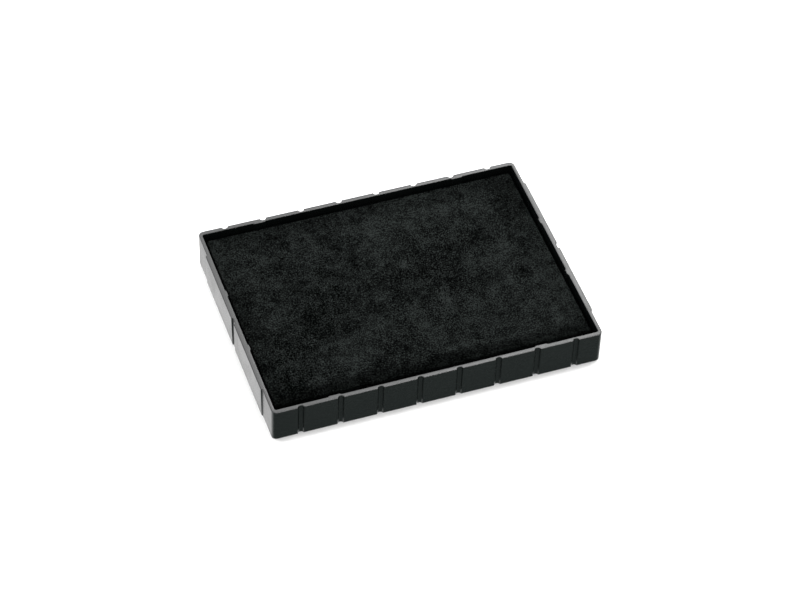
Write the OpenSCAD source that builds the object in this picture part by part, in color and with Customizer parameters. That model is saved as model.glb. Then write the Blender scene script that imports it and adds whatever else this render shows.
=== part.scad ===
// Ink pad cassette: a shallow moulded tray with a well that holds an ink-soaked felt pad.
// Millimetres. The origin is the centre of the underside, X runs along the length,
// the front wall faces -Y and +Z is up.

/* [Tray] */
// Outside length, over the raised panels of the short walls
tray_length = 73; // [58:0.5:100]
// Outside width, over the faces of the long walls
tray_width = 54; // [44:0.5:80]
// Height from the underside to the rim
tray_height = 8.3; // [6.5:0.1:12]
// Thickness of the long walls at the rim
long_wall = 1; // [0.8:0.05:1.6]
// Thickness of the short walls at their raised panels
short_wall = 1.1; // [0.9:0.05:1.8]
// Thickness of the floor
floor_thickness = 1; // [0.7:0.1:1.6]
// Radius of the upright outer corners
corner_radius = 1.2; // [0.6:0.1:2]
// Radius of the upright corners of the well
well_radius = 0.4; // [0.2:0.1:1]
// How far each outer face leans in between the rim and the underside
draft = 0.15; // [0.05:0.05:0.3]

/* [Grooves in the long walls] */
// Number of upright grooves in each long wall
groove_count = 8; // [2:1:12]
// Distance from the end of the tray to the middle of the first groove
groove_inset = 6.4; // [3:0.1:10]
// Width of a groove at the outer face
groove_mouth = 1.36; // [1:0.02:2]
// Depth of a groove
groove_depth = 0.6; // [0.3:0.05:0.6]

/* [Raised panels on the short walls] */
// Distance from the front or back face to the nearest panel
panel_inset = 6.75; // [3:0.05:12]
// Gap between the two panels of a short wall
panel_gap = 1.5; // [0.6:0.1:4]
// How far the panels stand out from the short wall
panel_rise = 0.35; // [0.2:0.05:0.5]
// Width of the slanted edge of a panel beside the gap
panel_slant = 0.15; // [0.05:0.05:0.4]
// Width of the longer slope at the outer end of a panel
panel_slope = 0.8; // [0.1:0.1:2]

/* [Ribs inside the well] */
// Distance from the end of the tray to the middle of a rib on a long wall
long_rib_inset = 13.9; // [6:0.1:20]
// Length along the wall of a rib on a long wall
long_rib_length = 3; // [1.5:0.1:5]
// Distance from the front or back face to the middle of a rib on a short wall
short_rib_inset = 19; // [6:0.1:20]
// Length along the wall of a rib on a short wall
short_rib_length = 2; // [1.5:0.1:5]
// How far a rib stands into the well
rib_rise = 0.25; // [0.1:0.05:0.4]
// Length of the slope at each end of a rib
rib_slope = 0.4; // [0.2:0.1:0.7]

/* [Felt pad] */
// Depth of the inked face below the rim
face_recess = 1.3; // [0.8:0.1:2.5]
// Thickness of the face layer
face_thickness = 0.9; // [0.5:0.1:1.4]
// Clearance between the face layer and the ribs
face_clearance = 0.4; // [0.1:0.05:0.6]
// Clearance between the felt reservoir and the ribs
reservoir_clearance = 0.1; // [0.05:0.05:0.4]
// Radius of the upright corners of both layers
pad_radius = 0.8; // [0.3:0.1:2]

/* [Hidden] */
$fn = 48;
// Overshoot of a cutting solid past the face that it cuts
overshoot = 1;
// How far a raised panel's outline runs back into its wall
panel_root = 0.3;
groove_pitch = (tray_length - 2 * groove_inset) / (groove_count - 1);
groove_radius = (pow(groove_mouth / 2, 2) + pow(groove_depth, 2)) / (2 * groove_depth);
well_length = tray_length - 2 * short_wall;
well_width = tray_width - 2 * long_wall;
draft_angle = atan(draft / tray_height);
panel_length = tray_width / 2 - panel_inset - panel_gap / 2;
long_rib_x = tray_length / 2 - long_rib_inset;
short_rib_y = tray_width / 2 - short_rib_inset;
face_top = tray_height - face_recess;
face_bottom = face_top - face_thickness;

// Rectangle about the origin with its four corners rounded
module rounded_rectangle(length, width, radius) {
    square([length - 2 * radius, width], center = true);
    square([length, width - 2 * radius], center = true);
    for (x = [-1, 1], y = [-1, 1])
        translate([x * (length / 2 - radius), y * (width / 2 - radius)])
            circle(r = radius);
}

// Trapezium on the line y = 0 that narrows from base to top over its height
module trapezium(base, top, height) {
    polygon([[-base / 2, 0], [base / 2, 0], [top / 2, height], [-top / 2, height]]);
}

// The children once at the back face and once, turned half round, at the front face
module both_long_faces(half_width) {
    for (turn = [0, 180])
        rotate(turn)
            translate([0, half_width])
                children();
}

// The children once at each end of the tray, with +Y pointing outwards
module both_short_faces(half_length) {
    for (turn = [90, 270])
        rotate(turn)
            translate([0, half_length])
                children();
}

// Outline of one raised panel, rooted below the line y = 0, with a slope at each end
module panel_outline(start, start_slope, end_slope) {
    translate([start, 0])
        polygon([
            [0, -panel_root],
            [panel_length, -panel_root],
            [panel_length, 0],
            [panel_length - end_slope, panel_rise],
            [start_slope, panel_rise],
            [0, 0]
        ]);
}

// Round cross-section of one groove, sunk into an outer face on the line y = 0
module groove_outline() {
    translate([0, groove_radius - groove_depth])
        circle(r = groove_radius);
}

// Outline of the tray from above, with its grooves and raised panels
module tray_outline() {
    difference() {
        rounded_rectangle(tray_length - 2 * panel_rise, tray_width, corner_radius);
        both_long_faces(tray_width / 2)
            for (i = [0 : groove_count - 1])
                translate([(i - (groove_count - 1) / 2) * groove_pitch, 0])
                    groove_outline();
    }
    both_short_faces(tray_length / 2 - panel_rise) {
        panel_outline(panel_gap / 2, panel_slant, panel_slope);
        panel_outline(-panel_gap / 2 - panel_length, panel_slope, panel_slant);
    }
}

// Outline of the well, less the ribs that centre the pad
module well_outline() {
    difference() {
        rounded_rectangle(well_length, well_width, well_radius);
        both_long_faces(well_width / 2)
            for (side = [-1, 1])
                translate([side * long_rib_x, 0])
                    mirror([0, 1])
                        trapezium(long_rib_length, long_rib_length - 2 * rib_slope, rib_rise);
        both_short_faces(well_length / 2)
            for (side = [-1, 1])
                translate([side * short_rib_y, 0])
                    mirror([0, 1])
                        trapezium(short_rib_length, short_rib_length - 2 * rib_slope, rib_rise);
    }
}

// Block whose inner face leans with the draft and meets the outer face at the rim
module draft_cut(half_size, span) {
    translate([0, half_size, tray_height])
        rotate([-draft_angle, 0, 0])
            translate([-span / 2, 0, -2 * tray_height])
                cube([span, overshoot, 2 * tray_height]);
}

module tray() {
    color([0.13, 0.14, 0.14])
        difference() {
            linear_extrude(tray_height)
                tray_outline();
            translate([0, 0, floor_thickness])
                linear_extrude(tray_height)
                    well_outline();
            for (turn = [0, 180])
                rotate(turn)
                    draft_cut(tray_width / 2, tray_length + 2 * overshoot);
            for (turn = [90, 270])
                rotate(turn)
                    draft_cut(tray_length / 2, tray_width + 2 * overshoot);
        }
}

// One flat layer of the pad, with the given clearance to the ribs all round
module pad_layer(bottom, top, clearance) {
    translate([0, 0, bottom])
        linear_extrude(top - bottom)
            rounded_rectangle(
                well_length - 2 * (rib_rise + clearance),
                well_width - 2 * (rib_rise + clearance),
                pad_radius
            );
}

module felt_reservoir() {
    color([0.05, 0.05, 0.06])
        pad_layer(floor_thickness, face_bottom, reservoir_clearance);
}

module ink_face() {
    color([0.09, 0.1, 0.1])
        pad_layer(face_bottom, face_top, face_clearance);
}

tray();
felt_reservoir();
ink_face();
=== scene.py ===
"""Looks of the ink pad cassette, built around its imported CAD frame. Lengths are in metres."""

import math

import bpy
import numpy as np
from mathutils import Matrix, Vector, noise


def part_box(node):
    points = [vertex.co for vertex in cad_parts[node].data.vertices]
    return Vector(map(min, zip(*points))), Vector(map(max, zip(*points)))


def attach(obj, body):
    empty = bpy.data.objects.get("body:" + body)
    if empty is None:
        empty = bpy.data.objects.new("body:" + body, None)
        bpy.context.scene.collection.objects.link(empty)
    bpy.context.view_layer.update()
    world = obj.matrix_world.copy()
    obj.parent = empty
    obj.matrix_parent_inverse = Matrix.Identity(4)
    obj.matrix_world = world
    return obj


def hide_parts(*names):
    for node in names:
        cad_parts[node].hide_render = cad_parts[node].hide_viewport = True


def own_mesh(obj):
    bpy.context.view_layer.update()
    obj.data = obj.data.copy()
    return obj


MM = 0.001

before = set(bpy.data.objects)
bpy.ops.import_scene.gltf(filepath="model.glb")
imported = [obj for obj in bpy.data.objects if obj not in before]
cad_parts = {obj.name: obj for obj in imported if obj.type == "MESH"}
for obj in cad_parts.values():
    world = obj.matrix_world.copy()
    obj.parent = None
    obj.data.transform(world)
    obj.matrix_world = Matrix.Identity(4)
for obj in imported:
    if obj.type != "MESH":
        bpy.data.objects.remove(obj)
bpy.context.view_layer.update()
tray_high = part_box("tray")[1]
HALF_LENGTH, HALF_WIDTH, RIM_Z = tray_high

# The tray's own sizes, as the CAD source has them
LONG_WALL = 1.0 * MM
SHORT_WALL = 1.1 * MM
FLOOR_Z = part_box("felt_reservoir")[0].z
CORNER_RADIUS = 1.2 * MM
WELL_RADIUS = 0.4 * MM
DRAFT = 0.15 * MM
GROOVE_COUNT = 8
GROOVE_INSET = 6.4 * MM
GROOVE_MOUTH = 1.36 * MM
GROOVE_DEPTH = 0.6 * MM
PANEL_INSET = 6.75 * MM
PANEL_GAP = 1.5 * MM
PANEL_RISE = 0.35 * MM
PANEL_SLANT = 0.15 * MM
PANEL_SLOPE = 0.8 * MM
LONG_RIB_X = HALF_LENGTH - 13.9 * MM
LONG_RIB_LENGTH = 3.0 * MM
SHORT_RIB_Y = HALF_WIDTH - 19.0 * MM
SHORT_RIB_LENGTH = 2.0 * MM
RIB_RISE = 0.25 * MM
RIB_SLOPE = 0.4 * MM
PAD_RADIUS = 0.8 * MM

# Moulded roundings that only the visible tray has
EDGE_SOFTNESS = 0.03 * MM
GROOVE_LIP = 0.08 * MM
PANEL_CORE = 0.26 * MM
PANEL_SKIRT = 2.4 * MM
PANEL_CORE_SHARE = 0.84
BASE_FILLET = 0.25 * MM
FLOOR_FILLET = 0.3 * MM
RIM_OUTER_SHARE = 0.14
RIM_OUTER_DROP = 0.13 * MM
RIM_INNER_SHARE = 0.1
RIM_INNER_DROP = 0.1 * MM
SUPPORT = 0.05 * MM

# Felt shapes: each block's grid spacing and relief, the rounding of the top edge and the rings below
RESERVOIR_STEP = 1.0 * MM
RESERVOIR_RELIEF = 0.04 * MM
FACE_STEP = 0.2 * MM
FACE_RELIEF = 0.06 * MM
FELT_SHOULDER = 0.3 * MM
SHOULDER_STEPS = 5
SIDE_RINGS = 4
FOOT_SHARE = 0.7
FELT_SMOOTH_ANGLE = 80
RESERVOIR_SEED = 11
FACE_SEED = 3

# The relief's noise layers, as cells per millimetre and share of the relief, from fine to broad,
# and how far below the block's top the felt lies for it, in reliefs
RELIEF_LAYERS = ((2.6, 0.8), (0.9, 0.5), (0.16, 0.6))
RELIEF_ROOM = 1.7

# Colour of the ink-filled felt: its tint, each block's brightness, and the brightness by noise level. The
# reservoir's felt is darker than the face's, as painted shade where it shows in the narrow gap round the
# face
FELT_TINT = (0.88, 1.03, 0.98)
RESERVOIR_BRIGHTNESS = 0.0022
FACE_BRIGHTNESS = 0.0050
FELT_SHADES = ((0.42, 0.06), (0.46, 0.34), (0.5, 1.0), (0.54, 2.2), (0.58, 3.9))

# Painted shade along the felt's edges, where the tray's walls shade it: the distances where it starts and
# stops fading, and the colour's share at the edge
ALL_ROUND_PAINTED_SHADE = (3.0 * MM, 5.5 * MM, 0.78)
FRONT_PAINTED_SHADE = (2.6 * MM, 5.6 * MM, 0.54)
FRONT_RIM_PAINTED_SHADE = (1.0 * MM, 1.9 * MM, 0.2)

# Studio: the floor, the world's strength above and below the horizon, and where it changes along
# Y from front to back and along Z from below to above
FLOOR_HALF = 30.0
FLOOR_GLOW = 0.1
WORLD_ABOVE = 0.9
WORLD_BELOW_FRONT = 0.286
WORLD_BELOW_BACK = 1.42
WORLD_BELOW_TINT = (0.84, 1.0, 0.96)
WORLD_TURN = (-0.3, 0.3)
WORLD_HORIZON = (-0.3, -0.1)

# Camera of the photograph's view
CAMERA_AZIMUTH = -20.62
CAMERA_ELEVATION = 47.07
CAMERA_ROLL = 2.11
CAMERA_DISTANCE = 0.6271
CAMERA_LENS = 132.04
CAMERA_AIM = (0.69 * MM, 1.96 * MM)


def ramp(t):
    """0 below 0, 1 above 1 and a smooth rise between them."""
    t = np.clip(t, 0.0, 1.0)
    return t * t * (3 - 2 * t)


def quarter(steps):
    """Angles from 0 to a quarter turn."""
    return [math.pi / 2 * k / steps for k in range(steps + 1)]


# ---------------------------------------------------------------- meshes

def mesh_object(name, points, faces, smooth_angle=35):
    mesh = bpy.data.meshes.new(name)
    mesh.from_pydata([tuple(p) for p in points], [], faces)
    mesh.validate()
    mesh.update()
    mesh.shade_smooth()
    mesh.set_sharp_from_angle(angle=math.radians(smooth_angle))
    made = bpy.data.objects.new(name, mesh)
    bpy.context.scene.collection.objects.link(made)
    return made


def skin(rings):
    """Points and quads through a stack of closed rings, capped at both ends."""
    count = len(rings[0])
    points = np.concatenate(rings)
    faces = []
    for r in range(len(rings) - 1):
        low, high = r * count, (r + 1) * count
        for i in range(count):
            j = (i + 1) % count
            faces.append((low + i, low + j, high + j, high + i))
    faces.append(tuple(range(count))[::-1])
    last = (len(rings) - 1) * count
    faces.append(tuple(range(last, last + count)))
    return points, faces


def lift(outline, z):
    return np.column_stack([outline, np.full(len(outline), z)])


# ---------------------------------------------------------------- tray

def groove_middles():
    first = HALF_LENGTH - GROOVE_INSET
    return np.linspace(-first, first, GROOVE_COUNT)


GROOVE_RADIUS = ((GROOVE_MOUTH / 2) ** 2 + GROOVE_DEPTH ** 2) / (2 * GROOVE_DEPTH)
GROOVE_SHORT = GROOVE_RADIUS - GROOVE_DEPTH


def lip_middle(lean):
    """Distance from a groove's middle to where its rounded lip meets a face that leans in that far."""
    return math.sqrt((GROOVE_RADIUS + GROOVE_LIP) ** 2 - (GROOVE_SHORT + lean + GROOVE_LIP) ** 2)


def groove_sink(x, lean):
    """How far a long wall's face lies inwards at x, with its lean, round grooves and rounded lips."""
    away = np.abs(groove_middles() - x).min()
    middle = lip_middle(lean)
    if away >= middle:
        return lean
    if away > middle * GROOVE_RADIUS / (GROOVE_RADIUS + GROOVE_LIP):
        return lean + GROOVE_LIP - math.sqrt(GROOVE_LIP ** 2 - (middle - away) ** 2)
    return math.sqrt(GROOVE_RADIUS ** 2 - away ** 2) - GROOVE_SHORT


def base_place(x):
    """Where a station of the rim lies at the base, where the grooves are a little narrower."""
    middles = groove_middles()
    middle = middles[np.abs(middles - x).argmin()]
    top, base = lip_middle(0.0), lip_middle(DRAFT)
    away = abs(x - middle)
    return middle + math.copysign(np.interp(away, [0, top, 2 * top], [0, base, 2 * top]), x - middle)


def panel_share(y):
    """1 on a raised panel of a short wall and 0 beside it."""
    inner = ramp((abs(y) - PANEL_GAP / 2 + EDGE_SOFTNESS) / (PANEL_SLANT + 2 * EDGE_SOFTNESS))
    inside = HALF_WIDTH - PANEL_INSET - PANEL_SLOPE / 2 - abs(y)
    core = ramp(inside / PANEL_CORE + 0.5)
    skirt = ramp(inside / PANEL_SKIRT + 0.5)
    return inner * (PANEL_CORE_SHARE * core + (1 - PANEL_CORE_SHARE) * skirt)


def rib_share(s, middle, length):
    """1 on a rib of the well's wall and 0 beside it."""
    slope = RIB_SLOPE + 2 * EDGE_SOFTNESS
    return ramp((length / 2 + EDGE_SOFTNESS - abs(abs(s) - middle)) / slope)


def around(edge, width, steps=6):
    """Stations across a slope of that width that starts at edge, with a support on each side."""
    soft = math.copysign(EDGE_SOFTNESS, width)
    low, high = edge - soft, edge + width + soft
    support = math.copysign(SUPPORT, width)
    return [low - support, *np.linspace(low, high, steps), high + support]


def long_stations(limit):
    """Places along a long wall where its section changes."""
    found = []
    middle = lip_middle(0.0)
    turn = math.asin(middle / (GROOVE_RADIUS + GROOVE_LIP))
    bed = [GROOVE_RADIUS * math.sin(t * turn) for t in np.linspace(-1, 1, 15)]
    lip = [middle - GROOVE_LIP * math.sin(t * turn) for t in (0, 0.25, 0.5, 0.75)]
    for x in groove_middles():
        found += [x + offset for offset in bed]
        found += [x + side * offset for side in (-1, 1) for offset in (*lip, middle + SUPPORT)]
    for x in (-LONG_RIB_X, LONG_RIB_X):
        found += around(x - LONG_RIB_LENGTH / 2, RIB_SLOPE, 5)
        found += around(x + LONG_RIB_LENGTH / 2, -RIB_SLOPE, 5)
    return np.array(sorted(s for s in found if abs(s) < limit))


def short_stations(limit):
    """Places along a short wall where its section changes."""
    found = [0.0]
    for sign in (-1, 1):
        found += around(sign * PANEL_GAP / 2, sign * PANEL_SLANT)
        slope = sign * (HALF_WIDTH - PANEL_INSET - PANEL_SLOPE / 2)
        found += around(slope - PANEL_CORE / 2, PANEL_CORE, 9)
        found += [slope + side * PANEL_SKIRT * part for side in (-1, 1) for part in (0.2, 0.3, 0.4, 0.5)]
        found += around(sign * SHORT_RIB_Y - SHORT_RIB_LENGTH / 2, RIB_SLOPE, 5)
        found += around(sign * SHORT_RIB_Y + SHORT_RIB_LENGTH / 2, -RIB_SLOPE, 5)
    return np.array(sorted(s for s in found if abs(s) < limit))


def tray_outlines():
    """Matching outlines, counter-clockwise: outside at the rim, outside at the base, and the well."""
    top, base, well = [], [], []
    end_x = HALF_LENGTH - PANEL_RISE - CORNER_RADIUS
    end_y = HALF_WIDTH - CORNER_RADIUS
    well_x = HALF_LENGTH - SHORT_WALL - WELL_RADIUS
    well_y = HALF_WIDTH - LONG_WALL - WELL_RADIUS
    long_run = long_stations(min(end_x, well_x) - SUPPORT)
    short_run = short_stations(min(end_y, well_y) - SUPPORT)

    def long_side(side):
        for x in long_run if side < 0 else long_run[::-1]:
            rib = RIB_RISE * rib_share(x, LONG_RIB_X, LONG_RIB_LENGTH)
            low_x = base_place(x)
            top.append((x, side * (HALF_WIDTH - groove_sink(x, 0.0))))
            base.append((low_x, side * (HALF_WIDTH - groove_sink(low_x, DRAFT))))
            well.append((x, side * (HALF_WIDTH - LONG_WALL - rib)))

    def short_side(side):
        for y in short_run if side > 0 else short_run[::-1]:
            proud = panel_share(y)
            inset = PANEL_RISE * (1 - proud)
            rib = RIB_RISE * rib_share(y, SHORT_RIB_Y, SHORT_RIB_LENGTH)
            top.append((side * (HALF_LENGTH - inset), y))
            base.append((side * (HALF_LENGTH - inset - DRAFT * proud), y))
            well.append((side * (HALF_LENGTH - SHORT_WALL - rib), y))

    def corner(side_x, side_y, start):
        for turn in quarter(10):
            c, s = math.cos(start + turn), math.sin(start + turn)
            top.append((side_x * end_x + CORNER_RADIUS * c, side_y * end_y + CORNER_RADIUS * s))
            base.append((top[-1][0], side_y * end_y + (CORNER_RADIUS - DRAFT) * s))
            well.append((side_x * well_x + WELL_RADIUS * c, side_y * well_y + WELL_RADIUS * s))

    long_side(-1)
    corner(1, -1, -math.pi / 2)
    short_side(1)
    corner(1, 1, 0)
    long_side(1)
    corner(-1, 1, math.pi / 2)
    short_side(-1)
    corner(-1, -1, math.pi)
    return np.array(top), np.array(base), np.array(well)


def tray_rings():
    """The tray's section as rings: underside, outer wall, rim, wall of the well and its floor."""
    top, base, well = tray_outlines()
    inward = well - top
    inward /= np.linalg.norm(inward, axis=1)[:, None]

    def outer(z, offset=0.0):
        return lift(base + (top - base) * (z / RIM_Z) + inward * offset, z)

    def rim(share, z):
        return lift(top + (well - top) * share, z)

    rings = [outer(0, BASE_FILLET + SUPPORT)]
    rings += [
        outer(BASE_FILLET * (1 - math.cos(t)), BASE_FILLET * (1 - math.sin(t))) for t in quarter(5)
    ]
    rings += [outer(BASE_FILLET + SUPPORT), outer(RIM_Z - RIM_OUTER_DROP - SUPPORT)]
    rings += [
        rim(RIM_OUTER_SHARE * (1 - math.cos(t)), RIM_Z - RIM_OUTER_DROP * (1 - math.sin(t)))
        for t in quarter(7)
    ]
    rings += [
        rim(1 - RIM_INNER_SHARE * (1 - math.sin(t)), RIM_Z - RIM_INNER_DROP * (1 - math.cos(t)))
        for t in quarter(4)
    ]
    rings.append(lift(well, RIM_Z - RIM_INNER_DROP - SUPPORT))
    rings.append(lift(well, FLOOR_Z + FLOOR_FILLET + SUPPORT))
    for t in quarter(4):
        foot = well + inward * FLOOR_FILLET * (1 - math.cos(t))
        rings.append(lift(foot, FLOOR_Z + FLOOR_FILLET * (1 - math.sin(t))))
    return rings


def build_tray(material):
    tray = mesh_object("moulded_tray", *skin(tray_rings()))
    tray.data.materials.append(material)
    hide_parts("tray")
    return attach(tray, "cassette")


# ---------------------------------------------------------------- felt

def rounded_plan(x, y, half):
    """Moves a point of the square grid inside the block's rounded corners."""
    arc = (half.x - PAD_RADIUS, half.y - PAD_RADIUS)
    past = np.array([max(abs(x) - arc[0], 0.0), max(abs(y) - arc[1], 0.0)])
    if past.all():
        past *= past.max() / np.linalg.norm(past)
        x = math.copysign(arc[0] + past[0], x)
        y = math.copysign(arc[1] + past[1], y)
    return x, y


def felt_relief(x, y, z, relief, seed):
    """How far the felt's surface stands out or in at a point."""
    here = Vector((x, y, z)) / MM
    shifts = (Vector((seed, 0, 0)), Vector((0, seed, 0)), Vector((0, 0, seed)))
    layers = zip(RELIEF_LAYERS, shifts)
    return relief * sum(share * noise.noise(here * scale + shift) for (scale, share), shift in layers)


def felt_top(half, surface, step, relief, seed):
    """The block's top as a fine grid: its points, its faces and the points round its border."""
    across = round(2 * half.x / step)
    along = round(2 * half.y / step)
    shrink = FELT_SHOULDER + relief
    points = []
    for x in np.linspace(-1, 1, across + 1) * (half.x - shrink):
        for y in np.linspace(-1, 1, along + 1) * (half.y - shrink):
            px, py = rounded_plan(x, y, half)
            points.append((px, py, surface + felt_relief(px, py, 0, relief, seed)))

    def at(i, j):
        return i * (along + 1) + j

    faces = [
        (at(i, j), at(i + 1, j), at(i + 1, j + 1), at(i, j + 1)) for i in range(across) for j in range(along)
    ]
    border = [at(i, 0) for i in range(across)]
    border += [at(across, j) for j in range(along)]
    border += [at(i, along) for i in range(across, 0, -1)]
    border += [at(0, j) for j in range(along, 0, -1)]
    return points, faces, border


def felt_levels(half, surface):
    """How far out and how high each ring below the top's border lies, down to the underside."""
    rounds = quarter(SHOULDER_STEPS)[::-1][1:]
    levels = [
        (FELT_SHOULDER - FELT_SHOULDER * (1 - math.cos(t)), surface - FELT_SHOULDER * (1 - math.sin(t)))
        for t in rounds
    ]
    sides = np.linspace(surface - FELT_SHOULDER, -half.z + FELT_SHOULDER / 2, SIDE_RINGS + 1)[1:]
    levels += [(FELT_SHOULDER, z) for z in sides]
    levels.append((FELT_SHOULDER * FOOT_SHARE, -half.z))
    return levels


def felt_block(name, low, high, step, relief, seed):
    """A felt block: a fine grid with rounded upright corners, soft shoulders and an uneven surface."""
    half = (high - low) / 2
    middle = (high + low) / 2
    surface = half.z - relief * RELIEF_ROOM
    points, faces, border = felt_top(half, surface, step, relief, seed)
    edge = np.array([points[k][:2] for k in border])
    out = np.roll(edge, -1, axis=0) - np.roll(edge, 1, axis=0)
    out = np.column_stack([out[:, 1], -out[:, 0]])
    out /= np.linalg.norm(out, axis=1)[:, None]
    previous = border
    for grow, z in felt_levels(half, surface):
        ring = []
        for start, away in zip(edge, out):
            moved = start + away * (grow + felt_relief(start[0], start[1], z + seed, relief, seed))
            ring.append(len(points))
            points.append((moved[0], moved[1], z))
        for k in range(len(ring)):
            after = (k + 1) % len(ring)
            faces.append((previous[after], previous[k], ring[k], ring[after]))
        previous = ring
    faces.append(tuple(previous[::-1]))
    points = [(p[0] + middle.x, p[1] + middle.y, p[2] + middle.z) for p in points]
    return mesh_object(name, points, faces, FELT_SMOOTH_ANGLE)


def build_reservoir(material):
    low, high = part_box("felt_reservoir")
    block = felt_block("reservoir_felt", low, high, RESERVOIR_STEP, RESERVOIR_RELIEF, RESERVOIR_SEED)
    block.data.materials.append(material)
    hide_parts("felt_reservoir")
    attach(block, "cassette")
    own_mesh(block)
    return block


def build_face(material):
    low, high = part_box("ink_face")
    face = felt_block("felt_face", low, high, FACE_STEP, FACE_RELIEF, FACE_SEED)
    face.data.materials.append(material)
    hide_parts("ink_face")
    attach(face, "pad_face")
    return face


# ---------------------------------------------------------------- materials

def new_material(name):
    material = bpy.data.materials.new(name)
    material.use_nodes = True
    tree = material.node_tree
    return material, tree, tree.nodes["Principled BSDF"]


def noise_node(tree, source, scale, detail=2.0, rough=0.5, distortion=0.0):
    node = tree.nodes.new("ShaderNodeTexNoise")
    node.inputs["Scale"].default_value = scale
    node.inputs["Detail"].default_value = detail
    node.inputs["Roughness"].default_value = rough
    node.inputs["Distortion"].default_value = distortion
    tree.links.new(source, node.inputs["Vector"])
    return node.outputs["Fac"]


def maths(tree, operation, a, b=0.0):
    node = tree.nodes.new("ShaderNodeMath")
    node.operation = operation
    for socket, value in zip(node.inputs, (a, b)):
        if isinstance(value, (int, float)):
            socket.default_value = value
        else:
            tree.links.new(value, socket)
    return node.outputs[0]


def span(tree, value, low, high, to_low=0.0, to_high=1.0):
    node = tree.nodes.new("ShaderNodeMapRange")
    node.interpolation_type = "SMOOTHSTEP"
    tree.links.new(value, node.inputs["Value"])
    for key, number in zip(("From Min", "From Max", "To Min", "To Max"), (low, high, to_low, to_high)):
        node.inputs[key].default_value = number
    return node.outputs["Result"]


def colours(tree, value, stops):
    node = tree.nodes.new("ShaderNodeValToRGB")
    points = node.color_ramp.elements
    while len(points) < len(stops):
        points.new(0.5)
    for point, (place, colour) in zip(points, stops):
        point.position = place
        point.color = (*colour, 1)
    tree.links.new(value, node.inputs["Fac"])
    return node.outputs["Color"]


def bump(tree, height, distance, strength, below=None):
    node = tree.nodes.new("ShaderNodeBump")
    node.inputs["Strength"].default_value = strength
    node.inputs["Distance"].default_value = distance
    tree.links.new(height, node.inputs["Height"])
    if below is not None:
        tree.links.new(below, node.inputs["Normal"])
    return node.outputs["Normal"]


def scaled(tree, colour, factor):
    node = tree.nodes.new("ShaderNodeVectorMath")
    node.operation = "SCALE"
    tree.links.new(colour, node.inputs[0])
    tree.links.new(factor, node.inputs["Scale"])
    return node.outputs["Vector"]


def tray_material():
    """Moulded black plastic: glossy, with the grain of the mould and faint flow marks."""
    material, tree, shader = new_material("tray_plastic")
    place = tree.nodes.new("ShaderNodeTexCoord").outputs["Object"]
    grain = noise_node(tree, place, 9000, 3.0, 0.6)
    flow = noise_node(tree, place, 160, 2.0, 0.5, 0.6)
    cloud = noise_node(tree, place, 60, 2.0)
    tone = colours(tree, cloud, [(0.3, (0.0018, 0.0026, 0.0025)), (0.7, (0.0028, 0.0038, 0.0036))])
    tree.links.new(tone, shader.inputs["Base Color"])
    smears = span(tree, flow, 0.3, 0.7, 0.2, 0.26)
    grit = span(tree, grain, 0.3, 0.7, 0.0, 0.06)
    tree.links.new(maths(tree, "ADD", smears, grit), shader.inputs["Roughness"])
    waves = bump(tree, flow, 0.02 * MM, 0.25)
    tree.links.new(bump(tree, grain, 0.004 * MM, 0.5, waves), shader.inputs["Normal"])
    return material


def add(tree, *values):
    """The sum of several node outputs."""
    total = values[0]
    for value in values[1:]:
        total = maths(tree, "ADD", total, value)
    return total


def painted_edge_shade(tree, place, half):
    """A factor on the felt's colour that paints the shade of the tray's walls: 1 in the middle, less near
    the edges and least along the front.
    """
    parts = tree.nodes.new("ShaderNodeSeparateXYZ")
    tree.links.new(place, parts.inputs["Vector"])
    side, back = (
        maths(tree, "SUBTRACT", reach, maths(tree, "ABSOLUTE", parts.outputs[axis]))
        for axis, reach in zip("XY", half)
    )
    front = maths(tree, "ADD", parts.outputs["Y"], half[1])
    border = span(tree, maths(tree, "MINIMUM", side, back), *ALL_ROUND_PAINTED_SHADE, 1.0)
    front_painted_shade = span(tree, front, *FRONT_PAINTED_SHADE, 1.0)
    front_rim_painted_shade = span(tree, front, *FRONT_RIM_PAINTED_SHADE, 1.0)
    return maths(tree, "MULTIPLY", border, maths(tree, "MULTIPLY", front_painted_shade, front_rim_painted_shade))


def felt_material(name, half, strength):
    """Short-fibred felt, with black ink in drifting wetter and drier patches, and painted shade that darkens
    it along its edges and most along the front.
    """
    material, tree, shader = new_material(name)
    place = tree.nodes.new("ShaderNodeTexCoord").outputs["Object"]
    fibres = noise_node(tree, place, 200, 5.0, 0.97)
    specks = noise_node(tree, place, 3600, 1.0, 0.7, 0.4)
    drift = noise_node(tree, place, 45, 1.5, 0.6)
    parts = ((fibres, 0.40), (specks, 0.50), (drift, 0.10))
    level = add(tree, *[maths(tree, "MULTIPLY", value, weight) for value, weight in parts])
    shades = [
        (stop, tuple(strength * part * share for part in FELT_TINT)) for stop, share in FELT_SHADES
    ]
    # The colour is darkened towards the felt's edges, most along the front: painted shade of the tray's
    # walls
    tone = scaled(tree, colours(tree, level, shades), painted_edge_shade(tree, place, half))
    tree.links.new(tone, shader.inputs["Base Color"])
    shader.inputs["Specular IOR Level"].default_value = 0.0
    tree.links.new(span(tree, fibres, 0.35, 0.65, 1.0, 0.8), shader.inputs["Roughness"])
    rough = bump(tree, fibres, 0.25 * MM, 0.6)
    tree.links.new(bump(tree, specks, 0.1 * MM, 0.8, rough), shader.inputs["Normal"])
    return material


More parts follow.
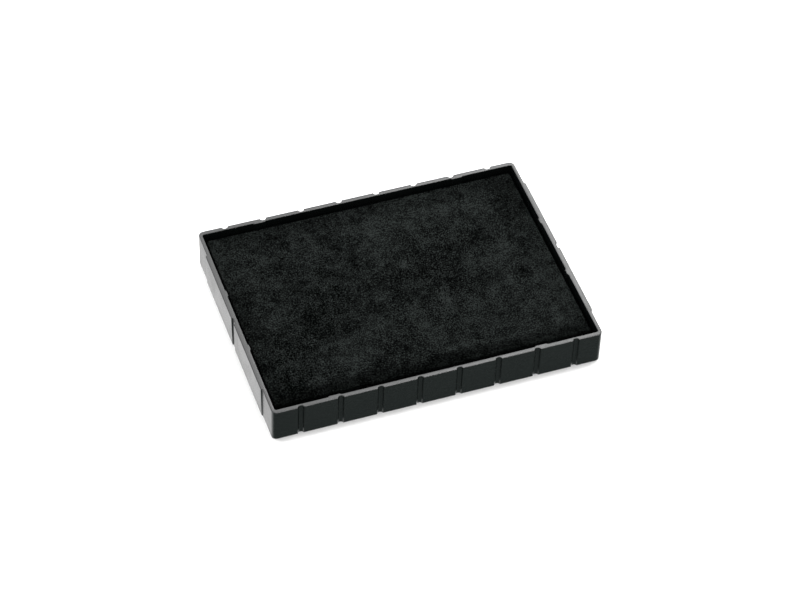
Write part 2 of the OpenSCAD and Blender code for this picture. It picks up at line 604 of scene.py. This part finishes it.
def floor_material():
    """Plain pale floor that gives off a little light, like a light table."""
    material, tree, shader = new_material("studio_floor")
    place = tree.nodes.new("ShaderNodeTexCoord").outputs["Object"]
    cloud = noise_node(tree, place, 12, 2.0)
    tone = colours(tree, cloud, [(0.3, (0.86, 0.86, 0.855)), (0.7, (0.88, 0.88, 0.875))])
    tree.links.new(tone, shader.inputs["Base Color"])
    shader.inputs["Roughness"].default_value = 0.9
    shader.inputs["Specular IOR Level"].default_value = 0.1
    shader.inputs["Emission Color"].default_value = (1, 1, 1, 1)
    shader.inputs["Emission Strength"].default_value = FLOOR_GLOW
    return material


# ---------------------------------------------------------------- studio

def direction(azimuth, elevation):
    """Unit vector from the object towards a viewer or a light at those angles."""
    a, e = math.radians(azimuth), math.radians(elevation)
    return Vector((math.sin(a) * math.cos(e), -math.cos(a) * math.cos(e), math.sin(e)))


def build_floor():
    """The floor, which glossy rays don't see, so that no shadow on it darkens the walls."""
    mesh = bpy.data.meshes.new("studio_floor")
    corners = [(x * FLOOR_HALF, y * FLOOR_HALF, 0) for x, y in ((-1, -1), (1, -1), (1, 1), (-1, 1))]
    mesh.from_pydata(corners, [], [(0, 1, 2, 3)])
    floor = bpy.data.objects.new("studio_floor", mesh)
    bpy.context.scene.collection.objects.link(floor)
    floor.data.materials.append(floor_material())
    floor.visible_glossy = False


def softbox(name, azimuth, elevation, distance, size, power):
    """A rectangular soft light at those angles and that distance from the origin, facing it."""
    data = bpy.data.lights.new(name, "AREA")
    data.shape = "RECTANGLE"
    data.size, data.size_y = size
    data.energy = power
    made = bpy.data.objects.new(name, data)
    towards = direction(azimuth, elevation)
    made.location = towards * distance
    made.rotation_mode = "QUATERNION"
    made.rotation_quaternion = towards.to_track_quat("Z", "Y")
    bpy.context.scene.collection.objects.link(made)


def build_lights():
    """Name, azimuth, elevation, distance, size and power of each softbox, most behind the object."""
    softbox("low_back_softbox", 212, 22, 0.5, (0.134, 0.213), 0.57)
    softbox("rim_softbox", 148, 47, 0.5, (0.1, 0.23), 0.54)
    softbox("back_softbox", 172, 47, 0.5, (0.2, 0.23), 0.43)
    softbox("left_back_softbox", 228, 47, 0.5, (0.1, 0.23), 0.11)
    softbox("right_softbox", 100, 47, 0.5, (0.1, 0.23), 0.19)
    softbox("high_right_softbox", 100, 73, 0.5, (0.05, 0.23), 0.95)
    softbox("high_left_softbox", 244, 73, 0.5, (0.05, 0.23), 0.6)
    softbox("top_softbox", 0, 90, 0.8, (0.35, 0.35), 1.59)


def build_world():
    """A pale studio all round. Below the horizon, where only gloss sees it, it is dark in front."""
    world = bpy.data.worlds.new("studio")
    world.use_nodes = True
    tree = world.node_tree
    shade = tree.nodes["Background"]
    parts = tree.nodes.new("ShaderNodeSeparateXYZ")
    tree.links.new(tree.nodes.new("ShaderNodeTexCoord").outputs["Generated"], parts.inputs["Vector"])
    back = span(tree, parts.outputs["Y"], *WORLD_TURN)
    below = span(tree, back, 0.0, 1.0, WORLD_BELOW_FRONT, WORLD_BELOW_BACK)
    share = span(tree, parts.outputs["Z"], *WORLD_HORIZON)
    pale = maths(tree, "MAXIMUM", back, share)
    tone = colours(tree, pale, [(0.0, WORLD_BELOW_TINT), (1.0, (1, 1, 1))])
    tree.links.new(tone, shade.inputs["Color"])
    mix = tree.nodes.new("ShaderNodeMix")
    tree.links.new(share, mix.inputs["Factor"])
    tree.links.new(below, mix.inputs[2])
    mix.inputs[3].default_value = WORLD_ABOVE
    tree.links.new(mix.outputs[0], shade.inputs["Strength"])
    bpy.context.scene.world = world


def build_camera():
    data = bpy.data.cameras.new("photo_camera")
    data.lens = CAMERA_LENS
    data.sensor_width = 36
    data.clip_start, data.clip_end = 0.01, 100
    camera = bpy.data.objects.new("photo_camera", data)
    bpy.context.scene.collection.objects.link(camera)
    back = direction(CAMERA_AZIMUTH, CAMERA_ELEVATION)
    right = Vector((0, 0, 1)).cross(back).normalized()
    up = back.cross(right)
    roll = math.radians(CAMERA_ROLL)
    tilted_right = right * math.cos(roll) + up * math.sin(roll)
    tilted_up = up * math.cos(roll) - right * math.sin(roll)
    camera.rotation_mode = "QUATERNION"
    turn = Matrix((tilted_right, tilted_up, back)).transposed()
    camera.rotation_quaternion = turn.to_quaternion()
    shift = tilted_right * CAMERA_AIM[0] + tilted_up * CAMERA_AIM[1]
    camera.location = back * CAMERA_DISTANCE + shift
    bpy.context.scene.camera = camera


def build_colour_view():
    view = bpy.context.scene.view_settings
    view.view_transform = "Standard"
    view.look = "None"


build_camera()
build_lights()
build_world()
build_floor()
build_colour_view()
build_tray(tray_material())
pad_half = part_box("ink_face")[1].xy
# The reservoir's felt is painted darker than the face's, as painted shade in the narrow gap round the face
build_reservoir(felt_material("reservoir_felt", pad_half, RESERVOIR_BRIGHTNESS))
build_face(felt_material("face_felt", pad_half, FACE_BRIGHTNESS))
